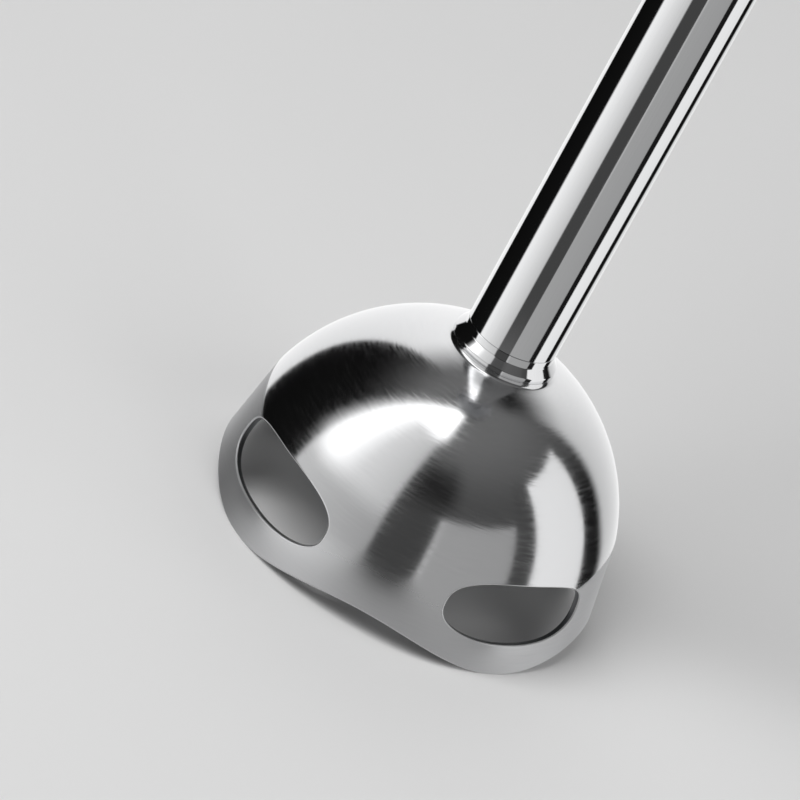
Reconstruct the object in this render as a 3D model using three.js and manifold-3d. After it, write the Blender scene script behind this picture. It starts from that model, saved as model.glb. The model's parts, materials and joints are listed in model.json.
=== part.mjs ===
// Immersion blender: a steel blending leg with a four-window bell, under a hand-held motor unit.
// Millimetres, +Z up. The origin is the centre of the plane that the bell's rim stands on.
// The front, where the finger buttons are, faces -Y.
import * as THREE from 'three';
import { mergeVertices } from 'three/addons/utils/BufferGeometryUtils.js';
import ManifoldModule from 'manifold-3d';

const library = await ManifoldModule();
library.setup();
const { Manifold, Mesh } = library;

// ---- driving dimensions ----
const GAP = 0.3;                    // between pieces that touch on the real object
const RUN = 0.1;                    // radial clearance of a turned shaft in its bush

const TUBE_R = 8;                   // leg tube, 16 mm outside
const TUBE_WALL = 0.8;
const DOME_R = 33.5;                // outside of the bell's dome
const DOME_CENTRE_Z = 8;
const SHEET = 1.2;                  // bell sheet
const SKIRT_TOP_Z = 16;             // where the dome meets the flared skirt
const RIM_R = 34.4;
const RIM_WAVE = 4.2;               // how far the rim rises between the windows
const WINDOW_HALF_WIDTH = 15;
const WINDOW_HALF_HEIGHT = 5.8;
const WINDOW_CENTRE_Z = 11;
const WINDOW_ROUNDNESS = 2.6;       // exponent of the rounded outline
const NECK_R = 7;                   // hole at the top of the dome
const COLLAR_R = 9.2;
const COLLAR_TOP_Z = 44.4;
const TUBE_TOP_Z = 170;

const SPINDLE_R = 2.5;
const SPINDLE_BOTTOM_Z = 11.4;
const SPINDLE_TOP_Z = 196;
const BLADE_R = 19.5;
const BLADE_Z = 14.6;
const BLADE_PITCH = 12;             // degrees, up and down in turn
const BEARING_BOSS_Z = 24;
const UPPER_BUSH_Z = [157, 168];

const SHOULDER_Z = 176;             // where the leg meets the motor unit
const SPIGOT_R = 17;
const HEAD_SEAL_Z = 180.8;
const LEDGE_Z = 190;                // the latches hook under this ledge of the leg head
const SPIGOT_TOP_Z = 197;

const HOUSING_BOTTOM_Z = 186.5;
const HOUSING_TOP_Z = 362;
const HOUSING_WALL = 2.2;
const HOUSING_OUTLINE = [           // [radius, height], joined by a smooth curve
  [24.6, 186.5], [26, 200], [29, 220], [31, 248], [30.4, 278], [28, 305], [26.6, 335], [26.8, 362],
];
const GRIP_Z = [214, 350];          // the soft grip's lower and upper edge
const GRIP_SWEEP = [212, 328];      // and the angles between which it lies, in degrees

const SHAFT_R = 4;
const SHAFT_Z = [198, 296];
const BEARING_R = 11;               // 22 x 8 x 7 ball bearings
const BEARING_H = 7;
const LOWER_BEARING_Z = 206;
const UPPER_BEARING_Z = 287;
const CORE_Z = 234;
const CORE_H = 28;
const CORE_TOP_Z = CORE_Z + CORE_H;
const CORE_R = 22;
const ARMATURE_R = 12.6;
const AIR_GAP = 0.7;
const SLOTS = 12;
const COMMUTATOR_R = 9.2;
const COMMUTATOR_Z = 272;
const COMMUTATOR_H = 12;
const FAN_Z = [217.5, 226.5];
const FAN_R = 16.5;
const FAN_VANES = 9;
const BRUSH_Z = 278;
const BOLT_RING_R = 19.6;
const BOLT_R = 1.6;
const BRACKET_R = 22.6;

const BUTTON_HALF_WIDTH = 7;
const BUTTON_HEIGHT = 19;
const BUTTON_ZS = { speed: 330.5, turbo: 309.5 };
const BUTTON_TIP_Y = -23.4;
const FRAME_HALF_WIDTH = 9.4;
const FRAME_Z = [297.4, 342.6];
const BOARD_Y = -15;
const RELEASE_Z = 204;
const SCREW_X = 15.5;
const SCREW_Z = 351;
const SCREW_R = 1.5;
const SCREW_HEAD_R = 2.7;
const SCREW_HEAD_Y = 13.3;
const SCREW_POST_R = 3.4;
const GLAND_Z = 334;
const GLAND_BORE_R = 4;
const GLAND_R = 5.9;                // where it passes through the housing
const DIAL_R = 14.6;

// Flat sides that stand for a full circle, by the size of the piece.
const SIDES_BELL = 48;
const SIDES_LARGE = 24;
const SIDES_SMALL = 16;
const SIDES_FINE = 12;

const FAR = 40;                     // beyond every outside surface, for the cutting shapes

// ---- finishes, one material for each piece ----
const FINISHES = {
  satin_steel: { color: 0xc4c6c8, roughness: 0.3, metalness: 1 },
  polished_steel: { color: 0xdadcde, roughness: 0.1, metalness: 1 },
  hard_steel: { color: 0xa9abae, roughness: 0.35, metalness: 1 },
  bronze: { color: 0xa9793f, roughness: 0.5, metalness: 1 },
  copper: { color: 0xb5623a, roughness: 0.4, metalness: 1 },
  laminations: { color: 0x5c5f64, roughness: 0.6, metalness: 0.8 },
  carbon: { color: 0x232325, roughness: 0.8, metalness: 0.1 },
  case_plastic: { color: 0x2b2c2f, roughness: 0.4, metalness: 0 },
  grey_plastic: { color: 0x7d8084, roughness: 0.5, metalness: 0 },
  pale_nylon: { color: 0xd9d4c4, roughness: 0.6, metalness: 0 },
  rubber: { color: 0x1a1a1c, roughness: 0.9, metalness: 0 },
  circuit_green: { color: 0x1d5a3a, roughness: 0.5, metalness: 0 },
};

const blender = new THREE.Group();

function addPiece(name, geometry, finish) {
  const piece = new THREE.Mesh(geometry, new THREE.MeshStandardMaterial(FINISHES[finish]));
  piece.name = name;
  blender.add(piece);
}

// ---- solids ----
function signedVolume(position, index) {
  const [a, b, c] = [new THREE.Vector3(), new THREE.Vector3(), new THREE.Vector3()];
  let sum = 0;
  for (let i = 0; i < index.length; i += 3) {
    a.fromBufferAttribute(position, index[i]);
    b.fromBufferAttribute(position, index[i + 1]);
    c.fromBufferAttribute(position, index[i + 2]);
    sum += a.dot(b.cross(c));
  }
  return sum / 6;
}

// Welds a closed geometry, drops its empty triangles and turns its faces outward.
function closed(geometry) {
  const bare = new THREE.BufferGeometry();
  bare.setAttribute('position', geometry.getAttribute('position').clone());
  if (geometry.index) bare.setIndex(geometry.index.clone());
  const welded = mergeVertices(bare, 1e-4);
  const kept = [];
  const old = welded.index.array;
  for (let i = 0; i < old.length; i += 3) {
    const [a, b, c] = [old[i], old[i + 1], old[i + 2]];
    if (a !== b && b !== c && c !== a) kept.push(a, b, c);
  }
  if (signedVolume(welded.getAttribute('position'), kept) < 0) kept.reverse();
  welded.setIndex(kept);
  return welded;
}

function toManifold(geometry) {
  const solid = closed(geometry);
  return new Manifold(new Mesh({
    numProp: 3,
    vertProperties: new Float32Array(solid.getAttribute('position').array),
    triVerts: new Uint32Array(solid.index.array),
  }));
}

function fromManifold(solid) {
  const mesh = solid.getMesh();
  const geometry = new THREE.BufferGeometry();
  const points = new Float32Array(mesh.numVert * 3);
  for (let i = 0; i < mesh.numVert; i++) {
    for (let k = 0; k < 3; k++) points[i * 3 + k] = mesh.vertProperties[i * mesh.numProp + k];
  }
  geometry.setAttribute('position', new THREE.BufferAttribute(points, 3));
  geometry.setIndex([...mesh.triVerts]);
  return geometry;
}

const joined = (...solids) => fromManifold(Manifold.union(solids.map(toManifold)));
const common = (a, b) => fromManifold(Manifold.intersection(toManifold(a), toManifold(b)));

function cut(body, ...tools) {
  return fromManifold(Manifold.difference([toManifold(body), ...tools.map(toManifold)]));
}

// A closed [r, z] outline turned about Z.
function turned(outline, segments = SIDES_SMALL) {
  const points = outline.map(([r, z]) => new THREE.Vector2(r, z));
  const last = outline[outline.length - 1];
  if (last[0] !== outline[0][0] || last[1] !== outline[0][1]) {
    if (outline[0][0] > 0 || last[0] > 0) points.push(points[0].clone());
  }
  return closed(new THREE.LatheGeometry(points, segments).rotateX(Math.PI / 2));
}

const ring = (inner, outer, z0, z1, segments) => (
  turned([[inner, z0], [outer, z0], [outer, z1], [inner, z1]], segments)
);

const rod = (radius, z0, z1, segments) => (
  turned([[0, z0], [radius, z0], [radius, z1], [0, z1]], segments)
);

function block(x0, x1, y0, y1, z0, z1) {
  const box = new THREE.BoxGeometry(x1 - x0, y1 - y0, z1 - z0);
  return closed(box.translate((x0 + x1) / 2, (y0 + y1) / 2, (z0 + z1) / 2));
}

function shapeOf(outline, hole) {
  const shape = new THREE.Shape(outline.map(([x, y]) => new THREE.Vector2(x, y)));
  if (hole) shape.holes.push(new THREE.Path(hole.map(([x, y]) => new THREE.Vector2(x, y))));
  return shape;
}

// An [x, y] outline raised along Z.
function raised(outline, z0, z1, hole) {
  const drawn = { depth: z1 - z0, bevelEnabled: false };
  const geometry = new THREE.ExtrudeGeometry(shapeOf(outline, hole), drawn);
  return closed(geometry.translate(0, 0, z0));
}

// An [x, z] outline drawn along Y, from y0 to y1.
function drawnAlongY(outline, y0, y1, hole) {
  const drawn = { depth: y1 - y0, bevelEnabled: false };
  const geometry = new THREE.ExtrudeGeometry(shapeOf(outline, hole), drawn);
  return closed(geometry.rotateX(Math.PI / 2).translate(0, y1, 0));
}

function circle(radius, segments = SIDES_SMALL) {
  return Array.from({ length: segments }, (_, i) => {
    const t = (2 * Math.PI * i) / segments;
    return [radius * Math.cos(t), radius * Math.sin(t)];
  });
}

// A sector of a ring seen from above, its angles in degrees.
function ringSector(inner, outer, from, to, steps = 8) {
  const arc = (radius, a, b) => Array.from({ length: steps + 1 }, (_, i) => {
    const t = THREE.MathUtils.degToRad(a + ((b - a) * i) / steps);
    return [radius * Math.cos(t), radius * Math.sin(t)];
  });
  return [...arc(outer, from, to), ...arc(inner, to, from)];
}

// A circle with evenly spaced square teeth.
function toothed(root, tip, teeth, share = 0.5) {
  const pitch = (2 * Math.PI) / teeth;
  return Array.from({ length: teeth }, (_, i) => {
    const at = (radius, part) => [
      radius * Math.cos((i + part) * pitch), radius * Math.sin((i + part) * pitch),
    ];
    const edge = share / 2;
    return [at(root, -edge), at(tip, -edge * 0.8), at(tip, edge * 0.8), at(root, edge)];
  }).flat();
}

function roundedBox(halfWidth, halfHeight, centreZ, radius, steps = 3) {
  const corners = [[1, 1, 0], [-1, 1, 90], [-1, -1, 180], [1, -1, 270]];
  return corners.flatMap(([sx, sz, start]) => Array.from({ length: steps + 1 }, (_, i) => {
    const t = THREE.MathUtils.degToRad(start + (90 * i) / steps);
    return [
      sx * (halfWidth - radius) + radius * Math.cos(t),
      centreZ + sz * (halfHeight - radius) + radius * Math.sin(t),
    ];
  }));
}

// A piece drawn on the right (+X), or the same piece turned to the left.
const mirrored = (geometry, side) => (
  side > 0 ? geometry : closed(geometry.clone().rotateZ(Math.PI))
);
const HANDS = [['left', -1], ['right', 1]];

// ---- the bell ----
function domeArc(radius, z0, neckR, steps) {
  const from = Math.asin((z0 - DOME_CENTRE_Z) / radius);
  const to = Math.acos(neckR / radius);
  return Array.from({ length: steps + 1 }, (_, i) => {
    const t = from + ((to - from) * i) / steps;
    return [radius * Math.cos(t), DOME_CENTRE_Z + radius * Math.sin(t)];
  });
}

// The arch that lifts the rim between two windows.
function rimArch(y0, y1) {
  const steps = 10;
  const reach = RIM_R * Math.SQRT1_2;
  const crown = Array.from({ length: steps + 1 }, (_, i) => {
    const x = reach - (2 * reach * i) / steps;
    const z = (RIM_WAVE / 2) * (1 + Math.cos(4 * Math.asin(x / RIM_R)));
    return [x, z];
  });
  return drawnAlongY([[-reach, -2], [reach, -2], ...crown.slice(1, -1)], y0, y1);
}

function windowOutline() {
  const steps = 24;
  const power = 2 / WINDOW_ROUNDNESS;
  return Array.from({ length: steps }, (_, i) => {
    const t = (2 * Math.PI * i) / steps;
    const [c, s] = [Math.cos(t), Math.sin(t)];
    return [
      WINDOW_HALF_WIDTH * Math.sign(c) * Math.abs(c) ** power,
      WINDOW_CENTRE_Z + WINDOW_HALF_HEIGHT * Math.sign(s) * Math.abs(s) ** power,
    ];
  });
}

function bellGuard() {
  const steps = 8;
  const outside = [[RIM_R, 0], ...domeArc(DOME_R, SKIRT_TOP_Z, NECK_R, steps)];
  const inside = [[RIM_R - SHEET, 0], ...domeArc(DOME_R - SHEET, SKIRT_TOP_Z, NECK_R, steps)].reverse();
  const shell = turned([...outside, ...inside], SIDES_BELL);
  const arches = [0, Math.PI / 2].map((angle) => rimArch(-FAR, FAR).rotateZ(angle));
  const windows = [45, 135, 225, 315].map((angle) => (
    drawnAlongY(windowOutline(), -FAR, -FAR / 2).rotateZ(THREE.MathUtils.degToRad(angle))
  ));
  return cut(shell, ...arches, ...windows);
}

function legCollar() {
  const bore = 6.9;
  return turned([
    [bore, 41.1], [COLLAR_R - 0.2, 40.6], [COLLAR_R, 40.9], [COLLAR_R, 41.85], [TUBE_R, 43.15],
    [TUBE_R, COLLAR_TOP_Z], [bore, COLLAR_TOP_Z],
  ], SIDES_LARGE);
}

// ---- the running gear in the leg ----
function bearingHousing() {
  return turned([
    [5.9, BEARING_BOSS_Z], [8, BEARING_BOSS_Z + 0.6], [8, 36], [9.4, 36.4], [9.2, 38.3], [6.6, 38.9],
    [6.6, 44.2], [4.9, 44.2], [4.9, 30], [5.9, 29.8],
  ]);
}

function wing(angle, pitch) {
  const thickness = 1.4;
  const outline = [[4.8, -3.6], [12, -4.6], [BLADE_R, -2.2], [BLADE_R - 1, 1.6], [12, 4], [4.8, 3.4]];
  const drawn = { depth: thickness, bevelEnabled: false };
  const blank = new THREE.ExtrudeGeometry(shapeOf(outline), drawn);
  blank.translate(0, 0, -thickness / 2).rotateX(THREE.MathUtils.degToRad(pitch));
  return blank.rotateZ(THREE.MathUtils.degToRad(angle)).translate(0, 0, BLADE_Z + thickness / 2);
}

function bladePiece() {
  const wings = [0, 90, 180, 270].map((angle, i) => wing(angle, i % 2 ? BLADE_PITCH : -BLADE_PITCH));
  const star = joined(rod(6, BLADE_Z - 0.2, BLADE_Z + 1.6), ...wings);
  return cut(star, rod(SPINDLE_R + RUN, BLADE_Z - 3, BLADE_Z + 5));
}

function bladeNut() {
  const hex = raised(circle(4.4, 6), 10.6, BLADE_Z - 0.5);
  const crown = turned([[0, 9], [2.4, 9.4], [3.6, 10.7], [0, 10.7]]);
  return cut(joined(hex, crown), rod(SPINDLE_R + RUN, 11, BLADE_Z + 1));
}

function legHead() {
  return turned([
    [TUBE_R + GAP, 148], [9.4, 148], [9.9, 150], [11, 156], [14, 163], [19, 169], [22, 172.4],
    [22.4, 174], [22.4, SHOULDER_Z - GAP], [SPIGOT_R, SHOULDER_Z - GAP], [SPIGOT_R, 179.6],
    [15.6, 179.6], [15.6, 182], [SPIGOT_R, 182], [SPIGOT_R, 185], [15.2, 185], [15.2, LEDGE_Z],
    [SPIGOT_R, LEDGE_Z], [SPIGOT_R, SPIGOT_TOP_Z - 1], [SPIGOT_R - 1, SPIGOT_TOP_Z],
    [9.4, SPIGOT_TOP_Z], [9.4, 181], [6, 181], [6, TUBE_TOP_Z + 1], [TUBE_R + GAP, TUBE_TOP_Z + 1],
  ], SIDES_LARGE);
}

const bushRing = (outer, z0, z1) => ring(SPINDLE_R + RUN, outer, z0, z1, SIDES_FINE);

function legTube() {
  return ring(TUBE_R - TUBE_WALL, TUBE_R, COLLAR_TOP_Z + GAP, TUBE_TOP_Z, SIDES_LARGE);
}

function legCoupler() {
  return raised(toothed(4.4, 6, 6), 185.5, SPINDLE_TOP_Z - 1, circle(SPINDLE_R + RUN, SIDES_FINE));
}

function addLeg() {
  addPiece('bell_guard', bellGuard(), 'satin_steel');
  addPiece('leg_collar', legCollar(), 'polished_steel');
  addPiece('leg_tube', legTube(), 'polished_steel');
  addPiece('bearing_housing', bearingHousing(), 'hard_steel');
  addPiece('lower_bush', bushRing(4.7, 30.4, 43.8), 'bronze');
  addPiece('spindle_seal', bushRing(5.6, 25.6, 29.4), 'rubber');
  addPiece('seal_retainer', ring(3, 5.6, 24.4, 25.3, SIDES_FINE), 'hard_steel');
  addPiece('upper_bush', bushRing(6.9, ...UPPER_BUSH_Z), 'bronze');
  addPiece('leg_head', legHead(), 'grey_plastic');
  const seal = new THREE.TorusGeometry(16.5, 0.8, 8, SIDES_LARGE);
  addPiece('head_seal', closed(seal.translate(0, 0, HEAD_SEAL_Z)), 'rubber');
  addPiece('drive_spindle', rod(SPINDLE_R, SPINDLE_BOTTOM_Z, SPINDLE_TOP_Z, SIDES_FINE), 'hard_steel');
  addPiece('blade', bladePiece(), 'hard_steel');
  addPiece('blade_spacer', bushRing(4, 17, 24.1), 'hard_steel');
  addPiece('blade_nut', bladeNut(), 'hard_steel');
  addPiece('spindle_circlip', bushRing(4.5, 168.4, 169.4), 'hard_steel');
  addPiece('leg_coupler', legCoupler(), 'pale_nylon');
}

// ---- the housing of the motor unit ----
const housingCurve = new THREE.SplineCurve(HOUSING_OUTLINE.map(([r, z]) => new THREE.Vector2(r, z)));

function housingR(z) {
  let [low, high] = [0, 1];
  for (let i = 0; i < 40; i++) {
    const middle = (low + high) / 2;
    if (housingCurve.getPoint(middle).y < z) low = middle;
    else high = middle;
  }
  return housingCurve.getPoint(low).x;
}

// The housing's surface between two heights, moved outward by a margin.
function housingSide(z0, z1, margin, steps = 8) {
  return Array.from({ length: steps + 1 }, (_, i) => {
    const z = z0 + ((z1 - z0) * i) / steps;
    return [housingR(z) + margin, z];
  });
}

function housingSkin(z0, z1, inner, outer) {
  const outline = [...housingSide(z0, z1, outer), ...housingSide(z0, z1, inner).reverse()];
  return turned(outline, SIDES_LARGE);
}

function housingBlank(z0, z1, margin) {
  return turned([[0, z0], ...housingSide(z0, z1, margin), [0, z1]], SIDES_LARGE);
}

function frameOpening(grow) {
  const [bottom, top] = FRAME_Z;
  return roundedBox(FRAME_HALF_WIDTH + grow, (top - bottom) / 2 + grow, (bottom + top) / 2, 4 + grow);
}

const releaseOpening = (grow) => roundedBox(6 + grow, 6.5 + grow, RELEASE_Z, 3 + grow);
const alongX = (geometry) => geometry.rotateZ(Math.PI / 2);

// Puts a shape drawn along Z on a screw's axis, which runs from front to rear.
function onScrewAxis(geometry, x) {
  return closed(geometry.rotateX(-Math.PI / 2).translate(x, 0, SCREW_Z));
}

// The post round a case screw, trimmed to the inside of the housing's wall.
function screwPost(y0, y1, x) {
  const post = onScrewAxis(rod(SCREW_POST_R, y0, y1), x);
  return common(post, housingBlank(SCREW_Z - 6, SCREW_Z + 6, -HOUSING_WALL / 2));
}

function screwHoles(x, headFrom) {
  return [
    onScrewAxis(rod(SCREW_R + GAP, -12, FAR), x),
    onScrewAxis(rod(SCREW_HEAD_R + GAP, headFrom, headFrom + FAR), x),
  ];
}

const halfBlock = (y0, y1) => block(-FAR, FAR, y0, y1, HOUSING_BOTTOM_Z - 1, HOUSING_TOP_Z + 1);
const housingTube = () => housingSkin(HOUSING_BOTTOM_Z, HOUSING_TOP_Z, -HOUSING_WALL, 0);
const releaseCut = () => alongX(drawnAlongY(releaseOpening(GAP), -FAR, FAR));
const frameCut = () => drawnAlongY(frameOpening(GAP), -FAR, -FAR / 4);

function frontShell() {
  const half = common(housingTube(), halfBlock(-FAR, -GAP / 2));
  const posts = [-SCREW_X, SCREW_X].map((x) => screwPost(-30, -GAP / 2, x));
  const holes = [-SCREW_X, SCREW_X].flatMap((x) => screwHoles(x, FAR));
  return cut(joined(half, ...posts), releaseCut(), frameCut(), ...holes);
}

function rearShell() {
  const half = common(housingTube(), halfBlock(GAP / 2, FAR));
  const posts = [-SCREW_X, SCREW_X].map((x) => screwPost(GAP / 2, 30, x));
  const holes = [-SCREW_X, SCREW_X].flatMap((x) => screwHoles(x, SCREW_HEAD_Y - GAP));
  return cut(joined(half, ...posts), releaseCut(), inletBore(GLAND_R + GAP), ...holes);
}

// A bore through the rear wall for the cord inlet.
function inletBore(radius) {
  return closed(rod(radius, 10, FAR).rotateX(-Math.PI / 2).translate(0, 0, GLAND_Z));
}

function softGrip() {
  const skin = housingSkin(...GRIP_Z, 0.2, 1.5);
  const front = raised(ringSector(4, 1.5 * FAR, ...GRIP_SWEEP, 6), GRIP_Z[0] - 1, GRIP_Z[1] + 1);
  return cut(common(skin, front), frameCut());
}

function buttonOutline(name, grow) {
  return roundedBox(BUTTON_HALF_WIDTH + grow, BUTTON_HEIGHT / 2 + grow, BUTTON_ZS[name], 3 + grow);
}

function buttonFrame() {
  const blank = common(drawnAlongY(frameOpening(0), -FAR, -FAR / 2), housingSkin(290, 350, -1.2, 1.7));
  const openings = Object.keys(BUTTON_ZS).map((name) => (
    drawnAlongY(buttonOutline(name, GAP), -FAR, -FAR / 4)
  ));
  return cut(blank, ...openings);
}

function fingerButton(name) {
  const bar = drawnAlongY(buttonOutline(name, 0), -FAR, -FAR / 2);
  const cap = common(bar, housingSkin(290, 350, -2.6, 3));
  const stem = drawnAlongY(roundedBox(2.4, 2.4, BUTTON_ZS[name], 1), -26.5, BUTTON_TIP_Y);
  return joined(cap, stem);
}

function buttonMembrane() {
  const sheet = drawnAlongY(frameOpening(-0.3), -22.4, -21.6);
  const domes = Object.values(BUTTON_ZS).map((z) => {
    const dome = turned([[0, 21], [2.2, 21], [3.4, 22], [3, 23], [0, 23]]);
    return closed(dome.rotateX(Math.PI / 2).translate(0, 0, z));
  });
  return joined(sheet, ...domes);
}

function releaseButton() {
  const bar = alongX(drawnAlongY(releaseOpening(0), -FAR, -FAR / 2));
  const cap = common(bar, housingSkin(196, 212, -1.6, 1.6));
  return joined(cap, block(22.4, 25.4, -2.5, 2.5, RELEASE_Z - 2.5, RELEASE_Z + 2.5));
}

function latchSpring() {
  const outline = [
    [20.5, 208], [21.1, 208], [21.1, 187], [20.5, 186.7], [15.7, 187.6], [15.7, 188.8], [20.5, 189.4],
  ];
  return drawnAlongY(outline, -3, 3);
}

function socketLiner() {
  const cup = turned([
    [17.5, SHOULDER_Z + GAP], [20.2, SHOULDER_Z + GAP], [20.2, 199.6], [9.6, 199.6], [9.6, 197.7],
    [17.5, 197.7],
  ], SIDES_LARGE);
  return cut(cup, block(-30, 30, -4.2, 4.2, 184.2, 191));
}

function topCap() {
  return turned([
    [26.8, 362.4], [27, 364], [26, 367.5], [22.8, 370.8], [18.4, 372.2], [16.4, 372.2], [16.4, 370],
    [4, 370], [4, 368], [16.6, 367.8], [21.6, 367.2], [24, 365.2], [24.4, 362.4],
  ], SIDES_LARGE);
}

function speedDial() {
  const grips = 16;
  const steps = 4 * grips;
  const outline = Array.from({ length: steps }, (_, i) => {
    const t = (2 * Math.PI * i) / steps;
    const radius = DIAL_R + 0.35 * Math.cos(grips * t);
    return [radius * Math.cos(t), radius * Math.sin(t)];
  });
  const wheel = raised(outline, 370.4, 380);
  const crown = turned([[0, 379], [13.9, 379], [13.4, 381.4], [10.6, 382.8], [0, 383.2]], SIDES_LARGE);
  const socket = rod(3.1, 369, 379, SIDES_FINE);
  const mark = block(-0.6, 0.6, -13.2, -8, 382.4, 385);
  return cut(joined(wheel, crown), socket, mark);
}

function cordGland() {
  const face = housingR(GLAND_Z);
  const sleeve = turned([
    [GLAND_BORE_R, 17], [GLAND_R, 17], [GLAND_R, face + GAP], [7.6, face + GAP], [7.2, face + 3],
    [5.6, face + 6], [GLAND_BORE_R, face + 6],
  ]);
  return closed(sleeve.rotateX(-Math.PI / 2).translate(0, 0, GLAND_Z));
}

function caseScrew(x) {
  const screw = turned([
    [0, -9], [SCREW_R, -9], [SCREW_R, SCREW_HEAD_Y], [SCREW_HEAD_R, SCREW_HEAD_Y],
    [SCREW_HEAD_R, SCREW_HEAD_Y + 2.1], [1.2, SCREW_HEAD_Y + 2.5], [0, SCREW_HEAD_Y + 2.5],
  ]);
  return onScrewAxis(screw, x);
}

function collarRing() {
  return turned([
    [20.5, SHOULDER_Z + GAP], [23.2, SHOULDER_Z + GAP], [24, 179], [24.6, HOUSING_BOTTOM_Z - GAP],
    [20.5, HOUSING_BOTTOM_Z - GAP],
  ], SIDES_LARGE);
}

// A switch stands on the front of the board, behind its finger button.
function buttonSwitch(z) {
  return block(-5, 5, BOARD_Y - 5.6, BOARD_Y - 1.1, z - 4.5, z + 4.5);
}

function addHousing() {
  addPiece('collar_ring', collarRing(), 'satin_steel');
  addPiece('socket_liner', socketLiner(), 'grey_plastic');
  addPiece('housing_front', frontShell(), 'case_plastic');
  addPiece('housing_rear', rearShell(), 'case_plastic');
  addPiece('soft_grip', softGrip(), 'rubber');
  addPiece('button_frame', buttonFrame(), 'satin_steel');
  addPiece('speed_button', fingerButton('speed'), 'grey_plastic');
  addPiece('turbo_button', fingerButton('turbo'), 'grey_plastic');
  addPiece('button_membrane', buttonMembrane(), 'rubber');
  addPiece('circuit_board', block(-15, 15, BOARD_Y - 0.8, BOARD_Y + 0.8, 299, 345), 'circuit_green');
  Object.entries(BUTTON_ZS).forEach(([name, z]) => {
    addPiece(`${name}_switch`, buttonSwitch(z), 'case_plastic');
  });
  HANDS.forEach(([name, side]) => {
    addPiece(`latch_spring_${name}`, mirrored(latchSpring(), side), 'hard_steel');
    addPiece(`release_button_${name}`, mirrored(releaseButton(), side), 'grey_plastic');
    addPiece(`case_screw_${name}`, caseScrew(side * SCREW_X), 'hard_steel');
  });
  addPiece('top_cap', topCap(), 'satin_steel');
  addPiece('speed_dial', speedDial(), 'grey_plastic');
  addPiece('dial_spindle', rod(3, 362.4, 378.6, SIDES_FINE), 'hard_steel');
  addPiece('dial_potentiometer', block(-8, 8, -8, 8, 353, 362), 'case_plastic');
  addPiece('cord_gland', cordGland(), 'rubber');
}

// ---- the motor ----
function boltHoles(z0, z1) {
  return [-1, 1].map((side) => (
    rod(BOLT_R + GAP, z0, z1, SIDES_FINE).translate(0, side * BOLT_RING_R, 0)
  ));
}

function motorBolt(side) {
  const bolt = turned([
    [0, 208.6], [3, 208.6], [3, 211.2], [BOLT_R, 211.2], [BOLT_R, 291], [0, 291],
  ], SIDES_FINE);
  return closed(bolt.translate(0, side * BOLT_RING_R, 0));
}

function statorCore() {
  const core = ring(ARMATURE_R + AIR_GAP, CORE_R, CORE_Z, CORE_TOP_Z, SIDES_LARGE);
  const slots = [90, 270].map((angle) => (
    raised(ringSector(9, 17.2, angle - 44, angle + 44, 10), CORE_Z - 1, CORE_TOP_Z + 1)
  ));
  const flatX = 21;
  const flats = [[-FAR, -flatX], [flatX, FAR]].map(([x0, x1]) => (
    block(x0, x1, -FAR, FAR, CORE_Z - 1, CORE_TOP_Z + 1)
  ));
  return cut(core, ...slots, ...flats, ...boltHoles(CORE_Z - 1, CORE_TOP_Z + 1));
}

// One field coil: two sides in the core's slots, joined by a turn over each end of the pole.
function fieldCoil() {
  const [inner, outer, reach] = [13.8, 16.9, 86];
  const [bottom, top] = [CORE_Z - 5, CORE_TOP_Z + 5];
  const turns = [[bottom, CORE_Z - GAP], [CORE_TOP_Z + GAP, top]].map(([z0, z1]) => (
    raised(ringSector(inner, outer, -reach, reach, 8), z0, z1)
  ));
  const sides = [[-reach, -52], [52, reach]].map(([from, to]) => (
    raised(ringSector(inner, outer, from, to, 2), bottom, top)
  ));
  return joined(...turns, ...sides);
}

function armatureCore() {
  const star = toothed(9.6, ARMATURE_R, SLOTS, 0.66);
  return raised(star, CORE_Z, CORE_TOP_Z, circle(SHAFT_R + RUN, SIDES_FINE));
}

// The winding: a head at each end of the core, joined by a bar in every slot.
function armatureWinding() {
  const head = (z0, z1) => turned([
    [4.8, z0], [10.6, z0], [11.8, (z0 + z1) / 2], [10.6, z1], [4.8, z1],
  ]);
  const lower = head(CORE_Z - 5, CORE_Z - GAP);
  const upper = head(CORE_TOP_Z + GAP, CORE_TOP_Z + 6);
  const bars = Array.from({ length: SLOTS }, (_, i) => {
    const angle = ((i + 0.5) * 360) / SLOTS;
    return raised(ringSector(10, 11.6, angle - 3, angle + 3, 1), CORE_Z - 1, CORE_TOP_Z + 1);
  });
  return joined(lower, upper, ...bars);
}

function coolingFan() {
  const [bottom, top] = FAN_Z;
  const hub = ring(SHAFT_R + RUN, 6.6, bottom, top, SIDES_FINE);
  const disc = ring(6, FAN_R, top - 1.5, top);
  const vanes = Array.from({ length: FAN_VANES }, (_, i) => (
    block(6, FAN_R - 0.3, -0.6, 0.6, bottom + 1, top - 1).rotateZ((i * 2 * Math.PI) / FAN_VANES)
  ));
  return joined(hub, disc, ...vanes);
}

function driveCoupler() {
  const cup = raised(circle(8.7), 186.5, 197.5, toothed(4.8, 6.4, 6, 0.6));
  return joined(cup, ring(SHAFT_R + RUN, 8.7, 197.2, 204));
}

const ballBearing = (z) => ring(SHAFT_R + RUN, BEARING_R, z, z + BEARING_H);

// A rubber ring between a bracket and the housing's wall, which has its radius at wallZ there.
function rubberMount(wallZ, z0, z1) {
  return ring(BRACKET_R + GAP, housingR(wallZ) - HOUSING_WALL - GAP, z0, z1, SIDES_LARGE);
}

// The plate that carries a bearing's cup and takes the two long bolts.
function bracket(cupZ, plateZ) {
  const cupR = 13.4;
  const cup = ring(BEARING_R + 0.2, cupR, cupZ, cupZ + BEARING_H + 1);
  const plate = ring(cupR - 0.5, BRACKET_R, plateZ, plateZ + 2.4, SIDES_LARGE);
  return cut(joined(cup, plate), ...boltHoles(plateZ - 1, plateZ + 4));
}

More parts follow.
